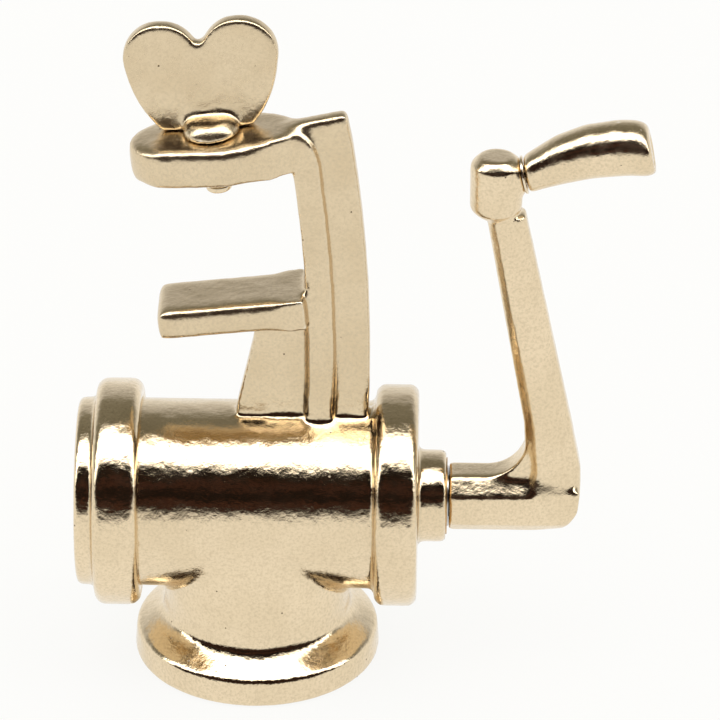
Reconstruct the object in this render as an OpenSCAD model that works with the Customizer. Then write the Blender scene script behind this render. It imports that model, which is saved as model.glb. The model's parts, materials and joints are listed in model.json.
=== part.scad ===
// Clamp-on hand crank meat grinder, standing upside down on the rim of its hopper.
// +X points from the ring nut to the crank, +Z is up. The origin is the centre of the hopper rim.

/* [Barrel] */
// Height of the barrel axis above the hopper rim
axis_h = 64.5; // [62:0.5:68]
// Outer diameter of the barrel
barrel_d = 68.6; // [68:0.2:69]
// Bore in which the feed screw turns
bore_d = 53.2; // [53:0.2:56]
// Front end of the barrel, along X
barrel_front = -56.2; // [-57:0.1:-56]
// Diameter of the rear flange
flange_d = 81; // [76:1:90]
// Front face of the rear flange, along X
flange_front = 43.2; // [42:0.2:44]
// Thickness of the rear flange
flange_t = 15.6; // [14:0.2:18]
// Diameter of the bearing boss
boss_d = 33.6; // [32:0.2:36]
// Length of the bearing boss
boss_len = 10.6; // [8:0.2:11]

/* [Hopper] */
// Diameter of the hopper rim
rim_d = 90; // [86:1:96]
// Height of the hopper's outer wall
rim_h = 11; // [8:0.5:13]
// Outer diameter of the neck between hopper and barrel
neck_d = 68; // [62:1:70]
// Diameter of the throat
throat_d = 50; // [40:1:52]

/* [Clamp] */
// Lean of the clamp screw and of both clamp faces
clamp_tilt = 6.5; // [0:0.5:10]
// Height of the clamp arm's outer face on the screw axis
arm_top = 212.8; // [205:0.1:225]
// Thickness of the clamp arm
arm_t = 15.4; // [12:0.2:18]
// Length of the oval clamp arm
arm_len = 61; // [54:1:66]
// Width of the oval clamp arm
arm_w = 34; // [30:1:38]
// Distance of the clamp screw from the hopper axis, towards the ring nut
screw_x = 15.5; // [14:0.5:17]
// Height of the jaw face at the screw axis
jaw_top = 147.8; // [140:0.5:155]
// Thickness of the jaw
jaw_t = 12; // [10:0.5:14]
// Width of the jaw
jaw_w = 26; // [22:1:30]
// Diameter of the clamp screw
screw_d = 10; // [8:0.5:11]

/* [Wing] */
// Thickness of the heart-shaped wing
wing_t = 6.4; // [5:0.2:8]
// Turn of the wing about the screw at rest
wing_turn = -2; // [-20:1:20]
// Diameter of the wing's round foot
foot_d = 20.8; // [18:0.2:22]

/* [Crank] */
// Width of the crank's eight-sided hub
hub_w = 22.8; // [22:0.2:24]
// Lean of the crank arm from the vertical
arm_lean = 11; // [9:0.2:12]
// Height of the grip axis at the knuckle
knuckle_z = 195; // [185:0.5:205]
// Slope of the grip axis
grip_slope = 12.5; // [8:0.5:16]

/* [Cutting set] */
// Diameter of the grinding plate
plate_d = 62; // [60:0.5:62]
// Thickness of the grinding plate
plate_t = 8; // [6:0.5:8]
// Diameter of the grinding plate's holes
hole_d = 5.6; // [4:0.2:6]

/* [Hidden] */
$fn = 64;
run = 0.05;                                   // radial clearance of a running fit
nickel = "#d9c8a4";
steel = "#b9bcc0";

flange_back = flange_front + flange_t;
boss_end = flange_back + boss_len;
rear_wall = 46;                               // inner face of the barrel's rear wall
seat_d = 62.2;                                // counterbore for plate and knife
seat_back = -42.6;

ring_d = 82.8;
ring_back = -41.8;                            // end of the ring nut nearest the hopper
ring_step = -58.5;                            // where the ring steps down to its lip
ring_front = -65.2;
lip_inner = -59.2;                            // inner face of the lip, which holds the plate
plate_front = lip_inner + 0.1;
plate_back = plate_front + plate_t;
knife_front = plate_back + 0.1;
knife_t = 8;
auger_front = seat_back - 0.1;
auger_back = 44;

bush_od = 28;
journal_d = 22;
hub_start = boss_end + 0.6;
square = 11;                                  // across the flats of the drive square
square_end = 86;
elbow_x = 106.2;                              // centre of the elbow's round corner
screw_seat = 108.4;                           // floor of the crank screw's counterbore

arm_head_x = 88.9;                            // centre of the crank arm where it meets the knuckle
arm_head_z = 182;
knuckle_x = 85.3;
knuckle_r = 9.4;
knuckle_len = 23.6;
grip_start = 10.6;                            // along the grip axis, from the knuckle's centre
grip_len = 46;
// Grip stations: distance along the axis, rise of the centre line, radius
grip_stations = [[0, 0, 6.9], [6, 1.7, 7.7], [13, 3.4, 8.9], [24, 4.5, 9.8], [36, 3.6, 10.2],
                 [43, 1.9, 10.3], [46, 1, 8.9]];

pin_d = 3.2;                                  // plate key pin
pin_len = 5.9;
pin_slack = 0.2;                              // room round the pin in the plate's notch
auger_pin_d = 4;
auger_pin_x = 32;
shaft_d = 14;                                 // plain end of the drive shaft, inside the auger
shaft_in = 29.5;                              // how far the shaft reaches into the auger
stud_d = 8;
stud_in = 15;
knife_square = 10;
flight_r = bore_d / 2 - 0.5;
flight_turns = 3.25;
core_r = 11.5;
crank_thread_d = 6.6;
grip_pin_d = 6;
// Rows of holes in the grinding plate: radius of the row, number of holes
hole_rows = [[10.4, 8], [17, 13], [23.6, 18]];

stem_x = 41;                                  // outer edge of the stem's web, at the middle of its bow
stem_r = 580;                                 // radius of the stem's bow
stem_mid = 122;                               // height of the bow's middle
stem_top = 221.6;                             // height of the stem's top on its outer edge
rib_in = 22.4;                                // depth of the stem, rib and web together
rib_t = 9.6;
rib_w = 14;
web_w = 7.6;
gusset_t = 7;
rib_turn_z = 196;                             // height at which the rib turns towards the arm
rib_end_x = 13;                               // where the rib's turned end meets the arm's outer face

foot_h = 5.8;                                 // height of the wing's round foot
foot_out = 1.2;                               // how far the foot stands out from the screw axis
wing_back = 4.2;                              // distance from the screw axis to the middle of the wing
cross_pin_d = 2.4;
cross_pin_h = 2.5;                            // height of the wing's cross pin
cross_pin_len = 17.6;
screw_head = 4.3;                             // how far the screw reaches into the wing's foot
screw_out = 7.6;                              // how far the screw and its tip reach below the arm
tip_len = 3;

// Frame of the clamp: on the screw axis, at the height z, with the screw's lean
module on_clamp(z) {
    translate([-screw_x, 0, z]) rotate([0, -clamp_tilt, 0]) children();
}

// Frame of the barrel axis: the child's +Z lies along +X
module along_barrel(x) {
    translate([x, 0, axis_h]) rotate([0, 90, 0]) children();
}

// Frame of the grip axis: the child's +Z points along the grip, +X is down
module along_grip(s) {
    translate([knuckle_x, 0, knuckle_z]) rotate([0, 90 - grip_slope, 0]) translate([0, 0, s]) children();
}

// Round bar along +Z with the same chamfer at both ends
module bar(d, len, edge) {
    rotate_extrude()
        polygon([[0, 0], [d / 2 - edge, 0], [d / 2, edge], [d / 2, len - edge], [d / 2 - edge, len], [0, len]]);
}

// Body casting

function arc(cx, cy, r, a0, a1, n) = [for (i = [0 : n]) let(a = a0 + (a1 - a0) * i / n)
    [cx + r * cos(a), cy + r * sin(a)]];

module hopper_outside() {
    rim_r = rim_d / 2;
    neck_r = neck_d / 2;
    shoulder_h = rim_h + 7.5;
    rotate_extrude()
        polygon(concat([[0, 0], [rim_r - 1.6, 0]], arc(rim_r - 1.6, 1.6, 1.6, -90, 0, 4),
                       [[rim_r - 0.6, rim_h - 1.4]], arc(rim_r - 2, rim_h - 1.2, 1.4, 0, 70, 3),
                       [[neck_r + 3, shoulder_h - 3.2], [neck_r + 0.6, shoulder_h - 0.8], [neck_r, shoulder_h + 1.6],
                        [neck_r, axis_h - 8], [0, axis_h - 8]]));
}

module hopper_inside() {
    translate([0, 0, -1])
        cylinder(r1 = rim_d / 2 - 3.4, r2 = throat_d / 2, h = 21);
    translate([0, 0, 19.9])
        cylinder(d = throat_d, h = axis_h - 19.9);
}

// X of the bowed stem at the height z, on a bow that lies "inset" inside its outer edge
function bow_x(z, inset) = stem_x - stem_r + sqrt(pow(stem_r - inset, 2) - pow(z - stem_mid, 2));

// Outer web of the stem, with a top that slopes up towards the outer edge
module web() {
    foot = axis_h + 20;
    far = rib_in - 0.8;
    inner_top = stem_top - 0.23 * far;
    steps = 10;
    rotate([90, 0, 0]) linear_extrude(web_w, center = true)
        polygon(concat([for (i = [0 : steps]) let(z = foot + (stem_top - foot) * i / steps) [bow_x(z, 0), z]],
                       [for (i = [steps : -1 : 0]) let(z = foot + (inner_top - foot) * i / steps) [bow_x(z, far), z]]));
}

// Inner rib of the stem, whose top turns over into the clamp arm
module rib() {
    foot = axis_h + 20;
    near = rib_in - rib_t;
    steps = 8;
    top = arm_top + (screw_x + rib_end_x) * tan(clamp_tilt) - 0.2;
    rise = top - rib_turn_z;
    run_in = bow_x(rib_turn_z, near) - rib_end_x;
    rotate([90, 0, 0]) linear_extrude(rib_w, center = true)
        polygon(concat([for (i = [0 : steps]) let(z = foot + (rib_turn_z - foot) * i / steps) [bow_x(z, near), z]],
                       [for (a = [15 : 15 : 90]) [rib_end_x + run_in * cos(a), rib_turn_z + rise * sin(a)]],
                       [[bow_x(top - 3, rib_in), top - 1.4]],
                       [for (i = [steps : -1 : 0]) let(z = foot + (top - 8 - foot) * i / steps) [bow_x(z, rib_in), z]]));
}

module stem() {
    web();
    rib();
}

// Half of the clamp arm's outline, as parts of its half length and half width
arm_profile = [[-1, 0], [-0.96, 0.33], [-0.84, 0.6], [-0.67, 0.84], [0.14, 1.04], [0.53, 0.86], [0.9, 0.5], [1, 0]];

module arm_outline() {
    last = len(arm_profile) - 1;
    half = [for (p = arm_profile) [p[0] * arm_len / 2, p[1] * arm_w / 2]];
    polygon(concat(half, [for (i = [last - 1 : -1 : 1]) [half[i][0], -half[i][1]]]));
}

module clamp_arm() {
    on_clamp(arm_top) translate([0, 0, -arm_t]) {
        linear_extrude(arm_t) arm_outline();
        translate([20, 0.5 - rib_w / 2, 0.3]) cube([9, rib_w - 1, arm_t - 0.8]);
    }
}

module jaw() {
    on_clamp(jaw_top) {
        translate([-20.5, -jaw_w / 2, -jaw_t]) cube([53.5, jaw_w, jaw_t]);
        translate([30, 0.5 - rib_w / 2, 0.4 - jaw_t]) cube([10, rib_w - 1, jaw_t - 0.8]);
    }
}

module gusset() {
    rotate([90, 0, 0]) linear_extrude(gusset_t, center = true)
        polygon([[-7.4, axis_h + 30], [-7, 103], [-1, 130], [0, 140], [24, 140], [26, axis_h + 30]]);
}

module rifling() {
    for (a = [0 : 45 : 315])
        along_barrel(seat_back - 1) rotate([0, 0, a + 22.5]) translate([bore_d / 2 - 1, -2, 0])
            cube([2.4, 4, rear_wall - seat_back - 5]);
}

module body_casting() {
    color(nickel) difference() {
        union() {
            along_barrel(barrel_front) cylinder(d = barrel_d, h = flange_front - barrel_front + 2);
            along_barrel(flange_front) bar(flange_d, flange_t, 2.2);
            along_barrel(flange_back - 1) bar(boss_d, boss_len + 1, 1.4);
            hopper_outside();
            stem();
            clamp_arm();
            jaw();
            gusset();
        }
        hopper_inside();
        along_barrel(seat_back - 1) cylinder(d = bore_d, h = rear_wall - seat_back + 1);
        along_barrel(barrel_front - 1) cylinder(d = seat_d, h = seat_back - barrel_front + 1);
        along_barrel(rear_wall - 1) cylinder(d = bush_od, h = 40);
        rifling();
        along_barrel(barrel_front - 1) translate([seat_d / 2, 0, 0]) cylinder(d = pin_d, h = pin_len + 1.1);
        on_clamp(arm_top) translate([0, 0, -arm_t - 5]) cylinder(d = screw_d + 2 * run, h = arm_t + 10);
    }
}

module rear_bush() {
    color("peru") along_barrel(rear_wall) difference() {
        cylinder(d = bush_od, h = boss_end - rear_wall);
        translate([0, 0, -1]) cylinder(d = journal_d + 2 * run, h = boss_end - rear_wall + 2);
    }
}

module plate_key_pin() {
    color(steel) along_barrel(barrel_front + 0.1) translate([seat_d / 2, 0, 0]) cylinder(d = pin_d, h = pin_len);
}

// Feed screw and drive

// Core and flight in one section, a sector broad at the core and narrow at the rim, wound round the axis
module worm() {
    len = auger_back - auger_front;
    linear_extrude(len, twist = -360 * flight_turns, slices = 56, convexity = 6, $fn = 12) union() {
        circle(r = core_r, $fn = 30);
        polygon([[6, -5], [flight_r * cos(24), -flight_r * sin(24)], [flight_r * cos(12), -flight_r * sin(12)],
                 [flight_r, 0], [flight_r * cos(12), flight_r * sin(12)],
                 [flight_r * cos(24), flight_r * sin(24)], [core_r * cos(52), core_r * sin(52)], [5, 7]]);
    }
}

module auger_pin_at() {
    translate([auger_pin_x, 0, axis_h]) rotate([90, 0, 0]) children();
}

module auger() {
    color(nickel) difference() {
        along_barrel(auger_front) worm();
        along_barrel(auger_front - 1) cylinder(d = stud_d + 0.04, h = stud_in + 2);
        along_barrel(auger_back - shaft_in - 0.5) cylinder(d = shaft_d + 0.06, h = shaft_in + 1.5);
        auger_pin_at() cylinder(d = auger_pin_d + 0.02, h = 60, center = true);
    }
}

module drive_shaft() {
    color(steel) difference() {
        union() {
            along_barrel(auger_back - shaft_in) cylinder(d = shaft_d, h = shaft_in + 0.5);
            along_barrel(auger_back) cylinder(d = journal_d, h = hub_start - 0.1 - auger_back);
            along_barrel(hub_start - 1) translate([-square / 2, -square / 2, 0])
                cube([square, square, square_end - hub_start + 1]);
        }
        along_barrel(square_end - 18) cylinder(d = crank_thread_d, h = 20);
        auger_pin_at() cylinder(d = auger_pin_d, h = 60, center = true);
    }
}

module auger_pin() {
    color(steel) auger_pin_at() cylinder(d = auger_pin_d, h = 2 * core_r - 2, center = true);
}

module thrust_washer() {
    color("saddlebrown") along_barrel(auger_back + 0.1) difference() {
        cylinder(d = 38, h = rear_wall - auger_back - 0.2);
        translate([0, 0, -1]) cylinder(d = journal_d + 4 * run, h = 4);
    }
}

module knife_stud() {
    color(steel) {
        along_barrel(auger_front) cylinder(d = stud_d, h = stud_in);
        along_barrel(knife_front) translate([-knife_square / 2, -knife_square / 2, 0])
            cube([knife_square, knife_square, auger_front - knife_front]);
        along_barrel(plate_front + 0.3) cylinder(d = stud_d, h = plate_t + 0.2);
    }
}

module knife_arm() {
    tip = seat_d / 2 - 2.1;
    linear_extrude(knife_t - 2)
        polygon([[2, -7], [9, -6], [tip * 0.65, -4.2], [tip * cos(8), -tip * sin(8)], [tip, 0],
                 [tip * cos(12), tip * sin(12)], [tip * 0.6, 8.4], [9, 8.6], [3, 8]]);
}

module cutting_knife() {
    color(steel) along_barrel(knife_front) difference() {
        union() {
            cylinder(d = 23, h = knife_t - 0.1);
            for (a = [0 : 90 : 270]) rotate([0, 0, a]) knife_arm();
        }
        translate([-knife_square / 2 - run, -knife_square / 2 - run, -1])
            cube([knife_square + 2 * run, knife_square + 2 * run, knife_t + 2]);
    }
}

module grinding_plate() {
    color(steel) along_barrel(plate_front) difference() {
        cylinder(d = plate_d, h = plate_t);
        translate([0, 0, -1]) cylinder(d = stud_d + 2 * run, h = plate_t + 2);
        for (row = hole_rows, i = [1 : row[1]])
            rotate([0, 0, 360 * i / row[1]]) translate([row[0], 0, -1]) cylinder(d = hole_d, h = plate_t + 2);
        translate([seat_d / 2, 0, -1]) cylinder(d = pin_d + 2 * pin_slack, h = plate_t + 2);
    }
}

module ring_nut() {
    color(nickel) difference() {
        union() {
            along_barrel(ring_front) bar(barrel_d, 8, 1.2);
            along_barrel(ring_step) bar(ring_d, ring_back - ring_step, 2.4);
        }
        along_barrel(ring_front - 1) cylinder(d = 54, h = 10);
        along_barrel(lip_inner) cylinder(d = plate_d + 0.8, h = 5);
        along_barrel(barrel_front - 0.4) cylinder(d = barrel_d + 0.6, h = 20);
    }
}

// Crank

function arm_x(z) = arm_head_x + (arm_head_z - z) * tan(arm_lean);

// Thin eight-sided slice of the crank, w wide and d deep, at x and z, tipped by "tip" towards the hub
module crank_slab(x, z, tip, w, d) {
    c = min(w, d) * 0.27;
    translate([x, 0, z]) rotate([0, tip, 0]) linear_extrude(0.5)
        polygon([[-w / 2, -d / 2 + c], [-w / 2 + c, -d / 2], [w / 2 - c, -d / 2], [w / 2, -d / 2 + c],
                 [w / 2, d / 2 - c], [w / 2 - c, d / 2], [-w / 2 + c, d / 2], [-w / 2, d / 2 - c]]);
}

// Hub, elbow and arm: slices along the bent bar, each joined to the next
crank_slices = [[hub_start, axis_h, 90, hub_w, hub_w],
                [elbow_x - 5.7, axis_h, 90, hub_w, hub_w - 1],
                [elbow_x - 1, axis_h + 0.2, 58, 25.4, hub_w - 2.6],
                [elbow_x + 0.9, axis_h + 3.4, 28, 24.4, hub_w - 4.4],
                [elbow_x + 1.6, axis_h + 13, 0, 20, 17],
                [arm_x(97), 97, 0, 17.2, 15],
                [arm_head_x, arm_head_z, 0, 14.2, 13]];

module crank_bar() {
    for (i = [0 : len(crank_slices) - 2])
        hull() for (p = [crank_slices[i], crank_slices[i + 1]]) crank_slab(p[0], p[1], p[2], p[3], p[4]);
}

// Fills the inner corner between the hub and the arm
module elbow_fillet() {
    fillet_r = 15;
    fillet_x = arm_x(92) - 8.5 - fillet_r;
    hub_top = axis_h + hub_w / 2;
    rotate([90, 0, 0]) linear_extrude(11, center = true) difference() {
        translate([fillet_x, hub_top - 3]) square([fillet_r + 4, fillet_r + 3]);
        translate([fillet_x, hub_top + fillet_r - 0.1]) circle(r = fillet_r);
    }
}

module crank_arm() {
    color(nickel) difference() {
        union() {
            crank_bar();
            elbow_fillet();
            translate([knuckle_x, 0, arm_head_z - 1]) bar(2 * knuckle_r, knuckle_len, 3.2);
            along_grip(0) cylinder(r = 6.9, h = grip_start - 1);
        }
        along_barrel(hub_start - 1) translate([-square / 2 - run, -square / 2 - run, 0])
            cube([square + 2 * run, square + 2 * run, square_end - hub_start + 1.6]);
        along_barrel(square_end) cylinder(d = 8, h = 60);
        along_barrel(screw_seat) cylinder(d = 16, h = 20);
        along_grip(-5) cylinder(d = 5, h = 30);
        along_grip(grip_start - 1) cylinder(r = 8, h = 6);
    }
}

module crank_washer() {
    color(steel) along_barrel(screw_seat + 0.05) difference() {
        cylinder(d = 15.4, h = 0.9);
        translate([0, 0, -1]) cylinder(d = 8, h = 3);
    }
}

module crank_screw() {
    head = screw_seat + 1;
    color(steel) difference() {
        union() {
            along_barrel(square_end - 14) cylinder(d = crank_thread_d, h = 15);
            along_barrel(square_end + 0.8) cylinder(d = 7.8, h = head - square_end - 0.7);
            along_barrel(head) bar(15, 4, 0.8);
        }
        translate([head + 2.4, -10, axis_h - 0.9]) cube([5, 20, 1.8]);
    }
}

module grip_pin() {
    color(steel) difference() {
        union() {
            along_grip(-5) cylinder(d = 5, h = grip_start + 4.9);
            along_grip(grip_start - 0.1) cylinder(d = grip_pin_d, h = grip_len - 3.3);
            along_grip(grip_start + grip_len - 3.5) bar(9, 3, 0.5);
        }
        along_grip(grip_start + grip_len - 1.7) translate([-10, -0.7, 0]) cube([20, 1.4, 5]);
    }
}

module grip_washer() {
    color(steel) along_grip(grip_start - 0.95) difference() {
        cylinder(r = 6.9, h = 0.85);
        translate([0, 0, -1]) cylinder(d = 5.1, h = 3);
    }
}

// Slice of the grip at station i, square to the grip axis
module grip_slice(i) {
    s = grip_stations[i];
    translate([-s[1], 0, s[0]]) cylinder(r = s[2], h = 0.01, $fn = 36);
}

module crank_grip() {
    color(nickel) along_grip(grip_start) difference() {
        union() for (i = [0 : len(grip_stations) - 2])
            hull() {
                grip_slice(i);
                grip_slice(i + 1);
            }
        translate([0, 0, -1]) cylinder(d = grip_pin_d + 2 * run, h = grip_len + 2);
        translate([0, 0, grip_len - 3.6]) cylinder(d = 9.6, h = 10);
    }
}

// Clamp screw and wing

module cross_pin_at(z) {
    rotate([0, 0, wing_turn]) translate([0, -foot_out, z]) rotate([0, 90, 0]) children();
}

module clamp_screw() {
    below = arm_t + screw_out - tip_len - 0.1;
    color(steel) on_clamp(arm_top) difference() {
        translate([0, 0, -below]) bar(screw_d, below + screw_head + 0.1, 0.8);
        cross_pin_at(cross_pin_h + 0.1) cylinder(d = cross_pin_d, h = 40, center = true);
        translate([0, 0, -below - 1]) cylinder(d = 4 + 2 * run, h = 5);
    }
}

// Point at the part t of a curve from a to c that is drawn towards b
function bend(a, b, c, t) = a * pow(1 - t, 2) + b * 2 * t * (1 - t) + c * pow(t, 2);

// Heart of the wing: two lobes and two bowed sides, leaning a little to one side as cast
module heart() {
    lobe_r = 13.7;
    steps = 8;
    translate([-14.8, 28.2]) circle(r = lobe_r);
    translate([13.1, 28.3]) circle(r = lobe_r);
    polygon(concat([for (i = [0 : steps]) bend([14.4, 0], [24.6, 9.8], [26.75, 28.3], i / steps)],
                   [[5.6, 36], [-2, 33.2], [-8.6, 36]],
                   [for (i = [steps : -1 : 0]) bend([-17.6, 0], [-27.4, 10.9], [-28.45, 28.2], i / steps)]));
}

// The wing's round foot, which takes the head of the screw
module wing_foot() {
    r = foot_d / 2;
    rotate_extrude() polygon([[0, 0], [r, 0], [r, 1.6], [r - 0.9, 3.4], [r - 2.8, foot_h - 0.5],
                              [r - 3.6, foot_h], [0, foot_h]]);
}

module clamp_wing() {
    color(nickel) on_clamp(arm_top + 0.1) difference() {
        rotate([0, 0, wing_turn]) union() {
            translate([0, wing_back, 0]) rotate([90, 0, 0]) linear_extrude(wing_t, center = true) heart();
            translate([0, -foot_out, 0]) wing_foot();
        }
        translate([0, 0, -1]) cylinder(d = screw_d, h = screw_head + 1);
        cross_pin_at(cross_pin_h) cylinder(d = cross_pin_d, h = cross_pin_len + 0.6, center = true);
    }
}

module wing_pin() {
    color(steel) on_clamp(arm_top + 0.1) cross_pin_at(cross_pin_h)
        cylinder(d = cross_pin_d, h = cross_pin_len, center = true);
}

module screw_tip() {
    color(steel) on_clamp(arm_top) translate([0, 0, -arm_t - screw_out]) {
        bar(screw_d - 0.6, tip_len, 0.7);
        cylinder(d = 4, h = tip_len + 3.8);
    }
}

body_casting();
rear_bush();
plate_key_pin();
auger();
drive_shaft();
auger_pin();
thrust_washer();
knife_stud();
cutting_knife();
grinding_plate();
ring_nut();
crank_arm();
crank_washer();
crank_screw();
grip_pin();
grip_washer();
crank_grip();
clamp_screw();
clamp_wing();
wing_pin();
screw_tip();
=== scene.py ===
"""Hand crank meat grinder, standing on its hopper rim: the looks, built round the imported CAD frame."""

import json
import math

import bmesh
import bpy
import numpy as np
from mathutils import Matrix, Vector, noise


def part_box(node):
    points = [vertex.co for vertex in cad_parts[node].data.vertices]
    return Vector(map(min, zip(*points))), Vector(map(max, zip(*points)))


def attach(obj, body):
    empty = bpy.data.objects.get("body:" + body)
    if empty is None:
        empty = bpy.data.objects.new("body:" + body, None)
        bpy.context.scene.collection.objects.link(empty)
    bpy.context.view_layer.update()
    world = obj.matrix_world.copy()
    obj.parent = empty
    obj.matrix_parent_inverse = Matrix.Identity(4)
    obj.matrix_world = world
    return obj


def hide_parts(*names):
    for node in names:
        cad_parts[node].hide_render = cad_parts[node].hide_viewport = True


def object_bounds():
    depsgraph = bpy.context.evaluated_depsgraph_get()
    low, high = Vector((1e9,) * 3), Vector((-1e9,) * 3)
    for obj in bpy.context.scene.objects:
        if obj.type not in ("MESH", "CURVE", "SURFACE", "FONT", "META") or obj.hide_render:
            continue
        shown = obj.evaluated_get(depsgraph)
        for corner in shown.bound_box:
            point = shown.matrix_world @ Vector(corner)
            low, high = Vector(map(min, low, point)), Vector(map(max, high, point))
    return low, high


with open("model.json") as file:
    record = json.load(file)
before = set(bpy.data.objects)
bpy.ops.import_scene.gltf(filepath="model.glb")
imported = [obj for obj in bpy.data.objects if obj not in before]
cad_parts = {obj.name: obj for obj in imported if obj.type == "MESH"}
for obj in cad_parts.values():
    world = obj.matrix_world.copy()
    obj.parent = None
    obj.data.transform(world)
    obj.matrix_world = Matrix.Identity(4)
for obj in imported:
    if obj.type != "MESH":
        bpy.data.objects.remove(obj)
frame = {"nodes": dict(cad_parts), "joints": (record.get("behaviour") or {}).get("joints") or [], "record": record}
CAD_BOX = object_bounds()
BODY_OF = {n: b for b, names in frame["record"]["behaviour"]["bodies"].items() for n in names}
CASTINGS = ("body_casting", "ring_nut", "crank_arm", "crank_grip", "clamp_wing", "auger")
CUTTING_PARTS = ("grinding_plate", "cutting_knife")
SLOT_OF = {  # the others are steel
    **dict.fromkeys(CASTINGS, "nickel_cast"),
    **dict.fromkeys(CUTTING_PARTS, "tool_steel"),
}

# ---------------------------------------------------------------- camera values
VIEW_UP = 29.5  # camera elevation, degrees
VIEW_TURN = 1.0  # camera azimuth, degrees
VIEW_ROLL = 0.35  # clockwise turn of the picture, degrees
VIEW_DISTANCE = 2.2
VIEW_LENS = 305.2
AIM = Vector((0.03732, 0, 0.12081))  # the point the camera looks at

# ---------------------------------------------------------------- casting values, metres
WAVE_DEPTH = 0.00005
WAVE_SIZE = 0.010  # length of the waves in a casting's skin
NORMALS_EVERY = 4  # turns between two updates of the normals, as fillets grow


# ---------------------------------------------------------------- mesh helpers
def clean_copy(node):
    """A welded copy of a CAD node's mesh, with its flat faces whole again."""
    mesh = frame["nodes"][node].data.copy()
    bm = bmesh.new()
    bm.from_mesh(mesh)
    bmesh.ops.remove_doubles(bm, verts=bm.verts, dist=2e-6)
    clean = bpy.data.meshes.new(node)
    bm.to_mesh(clean)
    bm.free()
    bpy.data.meshes.remove(mesh)
    return clean


def new_object(name, mesh):
    """An object in the scene, with the given mesh."""
    obj = bpy.data.objects.new(name, mesh)
    bpy.context.scene.collection.objects.link(obj)
    return obj


def bake_modifiers(obj):
    """The object's mesh with its modifiers applied."""
    graph = bpy.context.evaluated_depsgraph_get()
    baked = bpy.data.meshes.new_from_object(obj.evaluated_get(graph))
    old = obj.data
    obj.modifiers.clear()
    obj.data = baked
    bpy.data.meshes.remove(old)


def points(mesh):
    """The mesh's points, one row each."""
    co = np.empty(len(mesh.vertices) * 3, np.float32)
    mesh.vertices.foreach_get("co", co)
    return co.reshape(-1, 3).astype(np.float64)


def set_points(mesh, co):
    """Puts the rows of co back into the mesh."""
    mesh.vertices.foreach_set("co", co.astype(np.float32).ravel())
    mesh.update()


def normals(mesh):
    """The normal at each of the mesh's points, one row each."""
    out = np.empty(len(mesh.vertices) * 3, np.float32)
    mesh.vertex_normals.foreach_get("vector", out)
    return out.reshape(-1, 3).astype(np.float64)


def relax(mesh, turns, weight=1.0, hollows_only=False):
    """Moves each point towards its neighbours; hollows_only grows fillets in the inner corners alone."""
    co, count = points(mesh), len(mesh.vertices)
    ends = np.empty(len(mesh.edges) * 2, np.int32)
    mesh.edges.foreach_get("vertices", ends)
    a, b = ends[0::2], ends[1::2]
    degree = np.bincount(a, minlength=count) + np.bincount(b, minlength=count)
    degree = np.maximum(degree, 1)[:, None]
    weight = np.broadcast_to(np.asarray(weight, float), (count,))[:, None]
    normal = normals(mesh)
    for turn in range(turns):
        total = np.stack(
            [np.bincount(a, co[b, k], count) + np.bincount(b, co[a, k], count) for k in range(3)], 1
        )
        pull = total / degree - co
        if hollows_only:
            if turn % NORMALS_EVERY == 0:
                set_points(mesh, co)
                normal = normals(mesh)
            pull *= (np.einsum("ij,ij->i", pull, normal) > 0)[:, None]
        co += 0.5 * weight * pull
    set_points(mesh, co)


def ripple(mesh, depth, size, seed):
    """The slight waviness of a sand or die casting: a smooth seeded displacement along the normals."""
    co, normal = points(mesh), normals(mesh)
    shift = Vector((seed * 3.7, seed * 1.3, seed * 5.1))
    wave = np.array([noise.fractal(Vector(p) / size + shift, 1.0, 2.0, 2) for p in co])
    set_points(mesh, co + normal * (depth * np.clip(wave, -1, 1))[:, None])


def cast_piece(node, voxel, turns, soften=None, fillets=None, grooves=None, fill=None):
    """A casting: the CAD shape with soft edges, fillets in its inner corners and a slightly wavy skin.

    soften and fillets are (turns, where), and where gives each point's share of that step.
    fill changes the CAD shape before the skin is made, and grooves changes the finished skin.
    """
    obj = new_object("cast_" + node, clean_copy(node))
    if fill:
        fill(obj.data)
    remesh = obj.modifiers.new("skin", "REMESH")
    remesh.mode = "VOXEL"
    remesh.voxel_size = voxel
    bake_modifiers(obj)
    relax(obj.data, turns)
    if soften:
        relax(obj.data, soften[0], soften[1](points(obj.data)))
    if fillets:
        relax(obj.data, fillets[0], fillets[1](points(obj.data)), hollows_only=True)
        relax(obj.data, 2)
    ripple(obj.data, WAVE_DEPTH, WAVE_SIZE, seed=len(node))
    low, high = (np.array(corner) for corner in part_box(node))
    set_points(obj.data, np.clip(points(obj.data), low, high))
    if grooves:
        grooves(obj.data)
    finish_piece(obj, node)
    return obj


def finish_piece(obj, node):
    """Smooth shading, and the piece takes over the CAD node's place and body."""
    for face in obj.data.polygons:
        face.use_smooth = True
    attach(obj, BODY_OF[node])
    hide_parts(node)


def crisp_piece(node, width, segments=2):
    """A machined piece: the CAD shape with a small bevel on each edge."""
    obj = new_object("machined_" + node, clean_copy(node))
    flat = obj.modifiers.new("flats", "DECIMATE")
    flat.decimate_type = "DISSOLVE"
    flat.angle_limit = math.radians(0.5)
    bevel = obj.modifiers.new("edges", "BEVEL")
    bevel.width = width
    bevel.segments = segments
    bevel.limit_method = "ANGLE"
    bevel.angle_limit = math.radians(35)
    bevel.use_clamp_overlap = True
    bake_modifiers(obj)
    finish_piece(obj, node)
    obj.data.set_sharp_from_angle(angle=math.radians(32))
    return obj


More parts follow.
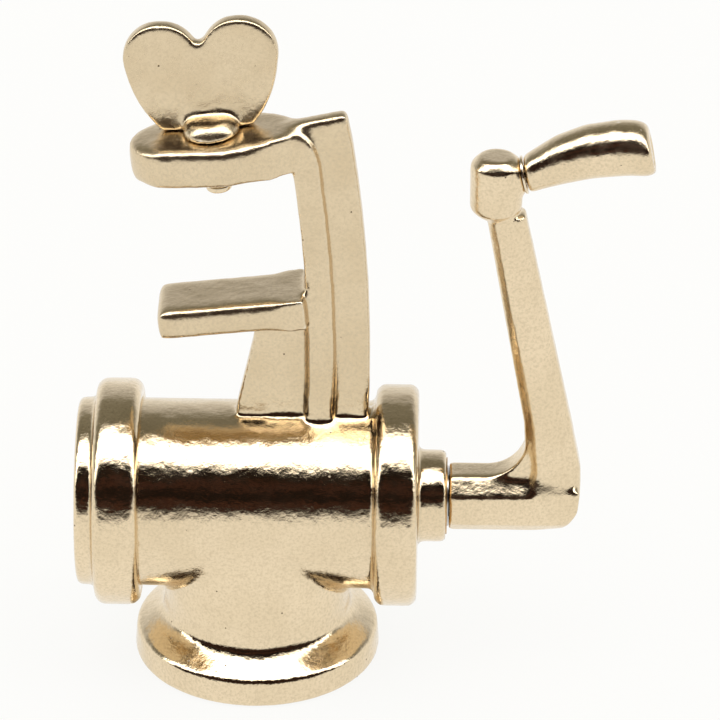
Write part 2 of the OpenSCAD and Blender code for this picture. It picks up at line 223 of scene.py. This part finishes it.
# ---------------------------------------------------------------- pieces
RING_LO, RING_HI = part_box("ring_nut")
AXIS_Z = (RING_LO.z + RING_HI.z) / 2
BARREL_R = 0.0343
FLANGE_X = 0.034  # the barrel ends here, in front of the rear flange
SHOULDER_Z = 0.024  # top of the hopper's flare
CLAMP_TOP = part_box("body_casting")[1].z
JAW_Z = next(m["pos_m"][2] for m in frame["record"]["mounts"] if m["name"] == "jaw_face")
SCREW_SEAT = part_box("crank_washer")[0].x
RECESS_R, RECESS_LENGTH = 0.0077, 0.020
JOINT = {joint["name"]: joint for joint in frame["joints"]}


def step(value, low, high):
    """0 below low, 1 above high, smooth between."""
    t = np.clip((value - low) / (high - low), 0, 1)
    return t * t * (3 - 2 * t)


def everywhere(co):
    """The same share for all points."""
    return np.ones(len(co))


def clear_of_screw(co):
    """0 at the wall of the clamp screw's hole, which keeps its width, and 1 away from it."""
    axis = np.array(JOINT["screw_turn"]["axis"])
    away = co - np.array(JOINT["screw_turn"]["pos_m"])
    across = away - np.outer(away @ axis, axis) / (axis @ axis)
    return step(np.linalg.norm(across, axis=1), 0.0065, 0.0085)


def clamp_edges(co):
    """The arm and the jaw are rounder than the stem."""
    x, z = co[:, 0], co[:, 2]
    arm = step(z, CLAMP_TOP - 0.034, CLAMP_TOP - 0.030) * step(-x, -0.006, 0.002)
    jaw_height = step(z, JAW_Z - 0.019, JAW_Z - 0.014) * step(-z, -JAW_Z - 0.010, -JAW_Z - 0.004)
    jaw = jaw_height * step(-x, -0.012, -0.004)
    top_corner = 0.35 * step(z, CLAMP_TOP - 0.012, CLAMP_TOP - 0.004)
    return np.maximum(np.maximum(arm, jaw), top_corner) * clear_of_screw(co)


def body_fillets(co):
    """Fillets grow at the stem's foot, in the clamp and where the neck meets the barrel, not in the bores."""
    radius = np.hypot(co[:, 1], co[:, 2] - AXIS_Z)
    outside = step(radius, 0.0325, 0.0335)
    above_shoulder = step(co[:, 2], SHOULDER_Z, SHOULDER_Z + 0.005)
    clamp = step(co[:, 2], AXIS_Z + 0.032, AXIS_Z + 0.040)
    off_flange = 1 - 0.85 * step(co[:, 0], FLANGE_X, FLANGE_X + 0.003) * (1 - clamp)
    return outside * above_shoulder * off_flange * (1 - 0.65 * clamp) * clear_of_screw(co)


# The elbow's round end: how far in from the crank's end, how far below the axis, and half the width
ELBOW_END = (
    (0.0002, -0.0065, 0.0092),
    (0.0010, 0.0016, 0.0098),
    (0.0042, 0.0070, 0.0085),
    (0.0085, 0.0104, 0.0050),
)


def fill_elbow(mesh):
    """Closes the recess of the crank screw and rounds the elbow's end, so that the skin runs over it."""
    bm = bmesh.new()
    bm.from_mesh(mesh)
    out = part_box("crank_arm")[1].x
    low, back = AXIS_Z + 0.0135, SCREW_SEAT - 0.010
    elbow = [v.co.copy() for v in bm.verts if v.co.x > back and v.co.z < low]
    for inset, drop, half in ELBOW_END:
        elbow += [Vector((out - inset, side, AXIS_Z - drop)) for side in (-half, half)]
    shell = [bm.verts.new(co) for co in elbow]
    made = bmesh.ops.convex_hull(bm, input=shell, use_existing_faces=False)
    bmesh.ops.delete(bm, geom=[g for g in made["geom_interior"] if g.is_valid], context="VERTS")
    bm.to_mesh(mesh)
    bm.free()


def cut_screw_recess(obj):
    """Cuts the crank screw's recess into the finished skin."""
    bm = bmesh.new()
    bmesh.ops.create_cone(
        bm, cap_ends=True, segments=64, radius1=RECESS_R, radius2=RECESS_R, depth=RECESS_LENGTH
    )
    tool = bpy.data.meshes.new("recess")
    bm.to_mesh(tool)
    bm.free()
    cutter = new_object("recess", tool)
    place = Matrix.Translation((SCREW_SEAT + RECESS_LENGTH / 2, 0, AXIS_Z))
    cutter.matrix_world = place @ Matrix.Rotation(math.pi / 2, 4, "Y")
    cut = obj.modifiers.new("recess", "BOOLEAN")
    cut.operation = "DIFFERENCE"
    cut.solver = "EXACT"
    cut.object = cutter
    bpy.context.view_layer.update()
    bake_modifiers(obj)
    bpy.data.objects.remove(cutter)
    obj.data.set_sharp_from_angle(angle=math.radians(50))


def thread_profile(phase):
    """Depth of a thread, 0 on its crest and 1 in its root, for a phase counted in turns."""
    t = np.abs((phase % 1.0) * 2 - 1)
    return np.clip(t * 1.5 - 0.25, 0, 1)


def barrel_thread(side):
    """Cuts the ring nut's thread: side -1 into the barrel, +1 into the ring nut."""
    pitch, depth = 0.004, 0.0008
    lip = 0.0092  # the ring nut's own end, before its thread
    start, end = RING_LO.x + lip, RING_HI.x - (0.0008 if side > 0 else 0.0015)

    def cut(mesh):
        bm = bmesh.new()
        bm.from_mesh(mesh)
        band = [
            e for e in bm.edges
            if start < e.verts[0].co.x < end
            and abs(math.hypot(e.verts[0].co.y, e.verts[0].co.z - AXIS_Z) - BARREL_R) < depth
        ]
        bmesh.ops.subdivide_edges(bm, edges=band, cuts=1, use_grid_fill=True)
        bm.to_mesh(mesh)
        bm.free()
        co = points(mesh)
        y, z = co[:, 1], co[:, 2] - AXIS_Z
        radius = np.hypot(y, z)
        on_wall = (np.abs(radius - BARREL_R) < depth) & (co[:, 0] > start) & (co[:, 0] < end)
        fade = step(co[:, 0], start, start + 0.001) * step(-co[:, 0], -end, -end + 0.001)
        turn = np.arctan2(y, z) / (2 * math.pi)
        move = side * depth * thread_profile(co[:, 0] / pitch + turn) * fade * on_wall
        co[:, 1] += y / radius * move
        co[:, 2] += z / radius * move
        set_points(mesh, co)

    return cut


def tube(rows, columns, place):
    """A closed mesh of rings, each a list of points; place(row, column) gives a point."""
    bm = bmesh.new()
    rings = [[bm.verts.new(place(i, j)) for j in range(columns)] for i in range(rows)]
    for low, high in zip(rings, rings[1:]):
        for j in range(columns):
            k = (j + 1) % columns
            bm.faces.new((low[j], low[k], high[k], high[j]))
    bm.faces.new(list(reversed(rings[0])))
    bm.faces.new(rings[-1])
    mesh = bpy.data.meshes.new("tube")
    bm.to_mesh(mesh)
    bm.free()
    return mesh


def threaded_screw():
    """The clamp screw with its 2.5 mm thread, right-handed, inside the CAD screw."""
    lo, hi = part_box("clamp_screw")
    axis = Vector(JOINT["screw_turn"]["axis"]).normalized()
    axis = axis if axis.z > 0 else -axis
    lean = math.acos(axis.z)
    radius, pitch, depth = 0.005, 0.0025, 0.0009
    length = (hi.z - lo.z - 2 * radius * math.sin(lean)) / math.cos(lean)
    middle = (lo + hi) / 2
    across = Vector((0, 1, 0))
    side = across.cross(axis)
    per_turn, columns = 12, 48
    rows = int(length / pitch * per_turn)
    crest = radius - 0.00002

    def place(i, j):
        """Point j of ring i, on the thread or on the bevel of the nearer end."""
        along, angle = length * i / (rows - 1), 2 * math.pi * j / columns
        to_end = min(along, length - along)
        r = crest - depth * float(thread_profile(np.float64(along / pitch - j / columns)))
        r = min(r, crest - max(0.0, depth - to_end))
        outward = side * math.cos(angle) + across * math.sin(angle)
        return middle + axis * (along - length / 2) + outward * r

    obj = new_object("threaded_clamp_screw", tube(rows, columns, place))
    finish_piece(obj, "clamp_screw")
    obj.data.set_sharp_from_angle(angle=math.radians(50))
    return obj


PIECES = {
    "body_casting": cast_piece(
        "body_casting", 0.0008, 5, (60, clamp_edges), (40, body_fillets), barrel_thread(-1)
    ),
    "ring_nut": cast_piece("ring_nut", 0.0006, 20, grooves=barrel_thread(1)),
    "crank_arm": cast_piece("crank_arm", 0.0005, 8, (16, everywhere), (30, everywhere), fill=fill_elbow),
    "crank_grip": cast_piece("crank_grip", 0.0005, 55),
    "clamp_wing": cast_piece("clamp_wing", 0.0005, 40, None, (40, everywhere)),
    "auger": cast_piece("auger", 0.0008, 8),
    "clamp_screw": threaded_screw(),
}
cut_screw_recess(PIECES["crank_arm"])
for node_name, edge in (
    ("grinding_plate", 0.0003),
    ("cutting_knife", 0.0003),
    ("crank_screw", 0.0003),
    ("grip_pin", 0.0002),
    ("screw_tip", 0.0004),
    ("drive_shaft", 0.0004),
    ("knife_stud", 0.0003),
    ("crank_washer", 0.0002),
    ("grip_washer", 0.0002),
):
    PIECES[node_name] = crisp_piece(node_name, edge)


# ---------------------------------------------------------------- materials
class Shader:
    """A small helper that adds and joins nodes."""

    def __init__(self, tree):
        self.tree = tree
        tree.nodes.clear()

    def add(self, kind, settings=(), **inputs):
        """A node. An input is named as in Blender with _ for a space, or by its number, as i0."""
        node = self.tree.nodes.new(kind)
        for key, value in dict(settings).items():
            setattr(node, key, value)
        for key, value in inputs.items():
            numbered = key[0] == "i" and key[1:].isdigit()
            self.feed(node.inputs[int(key[1:]) if numbered else key.replace("_", " ")], value)
        return node

    def feed(self, socket, value):
        """Links the socket to another node's output, or sets its value."""
        if isinstance(value, bpy.types.NodeSocket):
            self.tree.links.new(value, socket)
        else:
            socket.default_value = value

    def math(self, operation, a, b=0.0, clamp=False):
        """One sum, product or other operation on a and b."""
        settings = {"operation": operation, "use_clamp": clamp}
        return self.add("ShaderNodeMath", settings, i0=a, i1=b).outputs[0]

    def span(self, value, low, high, to_low=0.0, to_high=1.0):
        """Maps low..high smoothly to to_low..to_high."""
        settings = {"interpolation_type": "SMOOTHSTEP"}
        node = self.add("ShaderNodeMapRange", settings, i0=value, i1=low, i2=high, i3=to_low, i4=to_high)
        return node.outputs[0]

    def mix(self, factor, a, b):
        """Colour a where factor is 0 and colour b where it is 1."""
        return self.add("ShaderNodeMix", {"data_type": "RGBA"}, i0=factor, i6=a, i7=b).outputs[2]

    def noise(self, where, size, detail=2.0, roughness=0.5):
        """Noise with features of the given size in metres."""
        return self.add(
            "ShaderNodeTexNoise", Vector=where, Scale=1 / size, Detail=detail, Roughness=roughness
        ).outputs[0]

    def bump(self, height, depth, normal=None):
        """A normal bent by height, up to depth in metres, on top of another normal."""
        node = self.add("ShaderNodeBump", Height=height, Distance=depth, Strength=1.0)
        if normal is not None:
            self.tree.links.new(normal, node.inputs["Normal"])
        return node.outputs[0]


def rgb(r, g, b):
    """An opaque colour."""
    return (r, g, b, 1.0)


def new_material(name):
    """A material, the helper for its nodes, and the place on the object."""
    material = bpy.data.materials.new(name)
    material.use_nodes = True
    s = Shader(material.node_tree)
    return material, s, s.add("ShaderNodeTexCoord").outputs["Object"]


def surface(s, **inputs):
    """Ends a material with the principled shader; returns the shader node."""
    shader = s.add("ShaderNodeBsdfPrincipled", **inputs)
    s.add("ShaderNodeOutputMaterial", Surface=shader.outputs[0])
    return shader


def pits(s, where):
    """Small round pits in a few of many cells: 1 in a pit, 0 outside."""
    cells = s.add("ShaderNodeTexVoronoi", {"feature": "F1"}, Vector=where, Scale=1 / 0.0034)
    chance = s.add("ShaderNodeSeparateColor", i0=cells.outputs["Color"]).outputs[0]
    size = s.span(chance, 0.80, 1.0, 0.0, 0.14)
    return s.span(s.math("SUBTRACT", size, cells.outputs["Distance"]), 0.0, 0.05)


def cast_nickel(name, painted_shade_heights, rough=(0.06, 0.13), satin=None, peel=0.00012, grain=0.00004):
    """Nickel over a casting: warm white metal, orange peel, fine grain, pits and painted shade in the inner
    corners.

    Painted shading by height: the colour gets darker from the first to the second height given for it. satin is
    (height, height, added roughness).
    """
    material, s, where = new_material(name)
    large = s.noise(where, 0.02, 3)
    peel_wave = s.noise(where, 0.0021, 3, 0.5)
    speckle = s.noise(where, 0.0011, 4, 0.65)
    swell = s.noise(where, 0.009, 1)
    fine = s.noise(where, 0.0005, 3, 0.6)
    pit = pits(s, where)
    edge = s.add("ShaderNodeNewGeometry").outputs["Pointiness"]
    # painted shade: low pointiness marks the inner corners, where shade falls
    painted_corner_shade = s.span(edge, 0.42, 0.49, 1.0, 0.0)
    height = s.add("ShaderNodeSeparateXYZ", Vector=where).outputs[2]
    # painted shading by height: each tone is lighter low down and darker higher up
    painted_height_shade = s.span(height, painted_shade_heights[0], painted_shade_heights[1])
    bright = s.mix(painted_height_shade, rgb(0.85, 0.70, 0.485), rgb(0.74, 0.605, 0.41))
    plain = s.mix(painted_height_shade, rgb(0.80, 0.655, 0.445), rgb(0.695, 0.56, 0.37))
    colour = s.mix(s.span(large, 0.35, 0.65), bright, plain)
    colour = s.mix(s.span(speckle, 0.38, 0.72, 0.0, 0.6), colour, rgb(0.60, 0.49, 0.33))
    # painted shade: the inner corners are darkened towards a dark brown
    colour = s.mix(s.math("MULTIPLY", painted_corner_shade, 0.8), colour, rgb(0.22, 0.18, 0.12))
    colour = s.mix(s.span(edge, 0.515, 0.57, 0.0, 0.6), colour, rgb(0.93, 0.86, 0.72))
    colour = s.mix(s.math("MULTIPLY", pit, 0.8), colour, rgb(0.10, 0.07, 0.045))
    roughness = s.span(s.noise(where, 0.004, 3), 0.3, 0.7, rough[0], rough[1])
    if satin is not None:
        roughness = s.math("ADD", roughness, s.span(height, satin[0], satin[1], 0.0, satin[2]))
    roughness = s.math("ADD", roughness, s.math("MULTIPLY", pit, 0.4), clamp=True)
    normal = s.bump(swell, peel * 3.0)
    normal = s.bump(peel_wave, peel, normal)
    normal = s.bump(fine, grain, normal)
    normal = s.bump(s.math("SUBTRACT", 1.0, pit), 0.00006, normal)
    surface(s, Base_Color=colour, Roughness=roughness, Normal=normal, Metallic=1.0)
    return material


def machined(name, tint, dark, rough, lines, axis, depth=0.000004):
    """Machined metal: fine tool lines across one axis, and stains."""
    material, s, where = new_material(name)
    stretch = [1.0, 1.0, 1.0]
    stretch[axis] = lines
    stretched = s.add("ShaderNodeMapping", Vector=where, Scale=tuple(stretch)).outputs[0]
    tool = s.noise(stretched, 0.004, 4, 0.6)
    stain = s.noise(where, 0.006, 4)
    colour = s.mix(s.span(stain, 0.35, 0.7), tint, dark)
    roughness = s.span(tool, 0.3, 0.7, rough[0], rough[1])
    normal = s.bump(tool, depth)
    surface(s, Base_Color=colour, Roughness=roughness, Normal=normal, Metallic=1.0)
    return material


def fibre(name):
    """Hard red-brown washer fibre: fine mottled layers."""
    material, s, where = new_material(name)
    flattened = s.add("ShaderNodeMapping", Vector=where, Scale=(8.0, 1.0, 1.0)).outputs[0]
    layer = s.noise(flattened, 0.002, 4, 0.6)
    colour = s.mix(s.span(layer, 0.3, 0.7), rgb(0.20, 0.055, 0.03), rgb(0.33, 0.11, 0.06))
    roughness = s.span(layer, 0.3, 0.7, 0.45, 0.65)
    surface(s, Base_Color=colour, Roughness=roughness, Normal=s.bump(layer, 0.00002))
    return material


def paint_all():
    """Each shown piece and each CAD node gets its material."""
    steel, dark_steel = rgb(0.56, 0.55, 0.53), rgb(0.42, 0.41, 0.39)
    tool, dark_tool = rgb(0.50, 0.50, 0.49), rgb(0.36, 0.35, 0.34)
    bronze, dark_bronze = rgb(0.66, 0.42, 0.18), rgb(0.45, 0.26, 0.10)
    looks = {
        # the first pair for each nickel look gives the heights of its painted shading, lighter below and darker
        # above
        "body": cast_nickel("nickel_body", painted_shade_heights=(0.04, 0.12), satin=(0.095, 0.125, 0.14)),
        "ring": cast_nickel("nickel_ring", painted_shade_heights=(0.08, 0.20)),
        "crank": cast_nickel("nickel_crank", painted_shade_heights=(0.10, 0.50), rough=(0.10, 0.22)),
        "wing": cast_nickel("nickel_wing", painted_shade_heights=(0.0, 0.1), rough=(0.16, 0.30)),
        "steel": machined("turned_steel", steel, dark_steel, (0.18, 0.34), lines=30.0, axis=0),
        "tool": machined("ground_steel", tool, dark_tool, (0.22, 0.38), lines=14.0, axis=1),
        "bronze": machined("bearing_bronze", bronze, dark_bronze, (0.25, 0.40), lines=30.0, axis=0),
        "fibre": fibre("washer_fibre"),
    }
    wanted = {
        "body_casting": "body",
        "ring_nut": "ring",
        "clamp_wing": "wing",
        "rear_bush": "bronze",
        "thrust_washer": "fibre",
        **dict.fromkeys(CUTTING_PARTS, "tool"),
        **dict.fromkeys(("crank_arm", "crank_grip", "auger"), "crank"),
        **dict.fromkeys(("grip_washer", "crank_washer", "crank_screw", "grip_pin", "screw_tip"), "crank"),
    }
    for node, obj in frame["nodes"].items():
        look = looks[wanted.get(node, "steel")]
        for target in (obj, PIECES.get(node)):
            if target is not None:
                target.data.materials.clear()
                target.data.materials.append(look)


paint_all()


# ---------------------------------------------------------------- surroundings
def world_light():
    """A light tent: dark towards the camera, a softbox overhead, and a pale backdrop behind.

    Its colours change with the angle over the top: 0 is the camera's side, 90 is up and 180 is behind.
    """
    world = bpy.data.worlds.new("studio")
    bpy.context.scene.world = world
    world.use_nodes = True
    s = Shader(world.node_tree)
    direction = s.add("ShaderNodeTexCoord").outputs["Generated"]
    xyz = s.add("ShaderNodeSeparateXYZ", Vector=direction)
    _, y, z = xyz.outputs
    over = s.math("ARCTAN2", z, s.math("MULTIPLY", y, -1.0))
    turn = s.math("ADD", s.math("DIVIDE", over, 2 * math.pi), 0.5)
    ramp = s.add("ShaderNodeValToRGB", Fac=turn)
    paper, softbox = (0.97, 0.97, 0.96), (4.0, 4.0, 4.0)
    dark, glow = (0.014, 0.010, 0.008), (0.11, 0.045, 0.030)
    stops = (
        (-180, paper),
        (-1, paper),
        (5, dark),
        (12, dark),
        (15, glow),
        (18, dark),
        (34, dark),
        (37, glow),
        (40, dark),
        (61, dark),
        (67, softbox),
        (92, softbox),
        (98, (0.17, 0.16, 0.12)),
        (136, (0.25, 0.24, 0.20)),
        (152, (0.58, 0.58, 0.58)),
        (176, paper),
    )
    elements = ramp.color_ramp.elements
    while len(elements) < len(stops):
        elements.new(0.5)
    for element, (angle, colour) in zip(elements, stops):
        element.position = (angle + 180) / 360
        element.color = rgb(*colour)
    noise_node = s.add("ShaderNodeTexNoise", Vector=direction, Scale=9.0, Detail=3.0, Roughness=0.6)
    blotch = noise_node.outputs[0]
    room = s.math("MULTIPLY", s.span(over, 0.10, 0.25), s.span(over, 0.92, 0.80))
    brown = s.math("MULTIPLY", s.span(blotch, 0.62, 0.68), room)
    tent = s.mix(brown, ramp.outputs[0], rgb(0.16, 0.06, 0.032))
    path = s.add("ShaderNodeLightPath")
    tent = s.mix(path.outputs["Is Diffuse Ray"], tent, rgb(0.95, 0.95, 0.94))
    seen = s.mix(path.outputs["Is Camera Ray"], tent, rgb(0.985, 0.975, 0.955))
    background = s.add("ShaderNodeBackground", Color=seen, Strength=1.0)
    s.add("ShaderNodeOutputWorld", Surface=background.outputs[0])


def floor():
    """A large pale sheet under the grinder, which glows a little so that the shadows stay faint."""
    bm = bmesh.new()
    bmesh.ops.create_grid(bm, x_segments=8, y_segments=8, size=4.0)
    mesh = bpy.data.meshes.new("floor")
    bm.to_mesh(mesh)
    bm.free()
    obj = new_object("floor", mesh)
    obj.location.z = CAD_BOX[0].z
    material, s, where = new_material("pale_paper")
    mottle = s.noise(where, 0.09, 2)
    colour = s.mix(mottle, rgb(0.073, 0.072, 0.071), rgb(0.077, 0.076, 0.075))
    shader = surface(s, Base_Color=colour, Roughness=0.9)
    shader.inputs["Specular IOR Level"].default_value = 0.0
    shader.inputs["Emission Color"].default_value = rgb(1.0, 0.998, 0.98)
    shader.inputs["Emission Strength"].default_value = 0.893
    mesh.materials.append(material)


def soft_light(name, place, aim, size, power):
    """An area light at place, turned to aim. It is not seen in the metal."""
    light = bpy.data.lights.new(name, "AREA")
    light.shape = "RECTANGLE"
    light.size, light.size_y = size
    light.energy = power
    obj = bpy.data.objects.new(name, light)
    bpy.context.scene.collection.objects.link(obj)
    obj.location = place
    obj.rotation_mode = "QUATERNION"
    obj.rotation_quaternion = (Vector(aim) - Vector(place)).to_track_quat("-Z", "Y")
    obj.visible_glossy = False


def lights():
    """One large light overhead and one behind."""
    centre = (CAD_BOX[0] + CAD_BOX[1]) / 2
    soft_light("overhead_softbox", centre + Vector((0, -0.25, 1.6)), centre, (1.6, 1.2), 5)
    soft_light("back_softbox", centre + Vector((-0.6, 1.5, 1.2)), centre, (1.5, 1.5), 2)


def camera():
    """The camera that matches the photograph, from the values at the top."""
    up, turn = math.radians(VIEW_UP), math.radians(VIEW_TURN)
    back = Vector((math.sin(turn) * math.cos(up), -math.cos(turn) * math.cos(up), math.sin(up)))
    data = bpy.data.cameras.new("camera")
    data.sensor_width, data.lens = 36, VIEW_LENS
    data.clip_start, data.clip_end = 0.05, 50
    obj = bpy.data.objects.new("camera", data)
    bpy.context.scene.collection.objects.link(obj)
    forward = -back
    right = forward.cross(Vector((0, 0, 1))).normalized()
    above = right.cross(forward)
    roll = math.radians(VIEW_ROLL)
    right, above = (
        right * math.cos(roll) + above * math.sin(roll),
        above * math.cos(roll) - right * math.sin(roll),
    )
    turned = Matrix((right, above, back)).transposed().to_4x4()
    obj.matrix_world = Matrix.Translation(AIM + back * VIEW_DISTANCE) @ turned
    bpy.context.scene.camera = obj


world_light()
floor()
lights()
camera()
bpy.context.scene.view_settings.view_transform = "Standard"

bpy.context.view_layer.update()
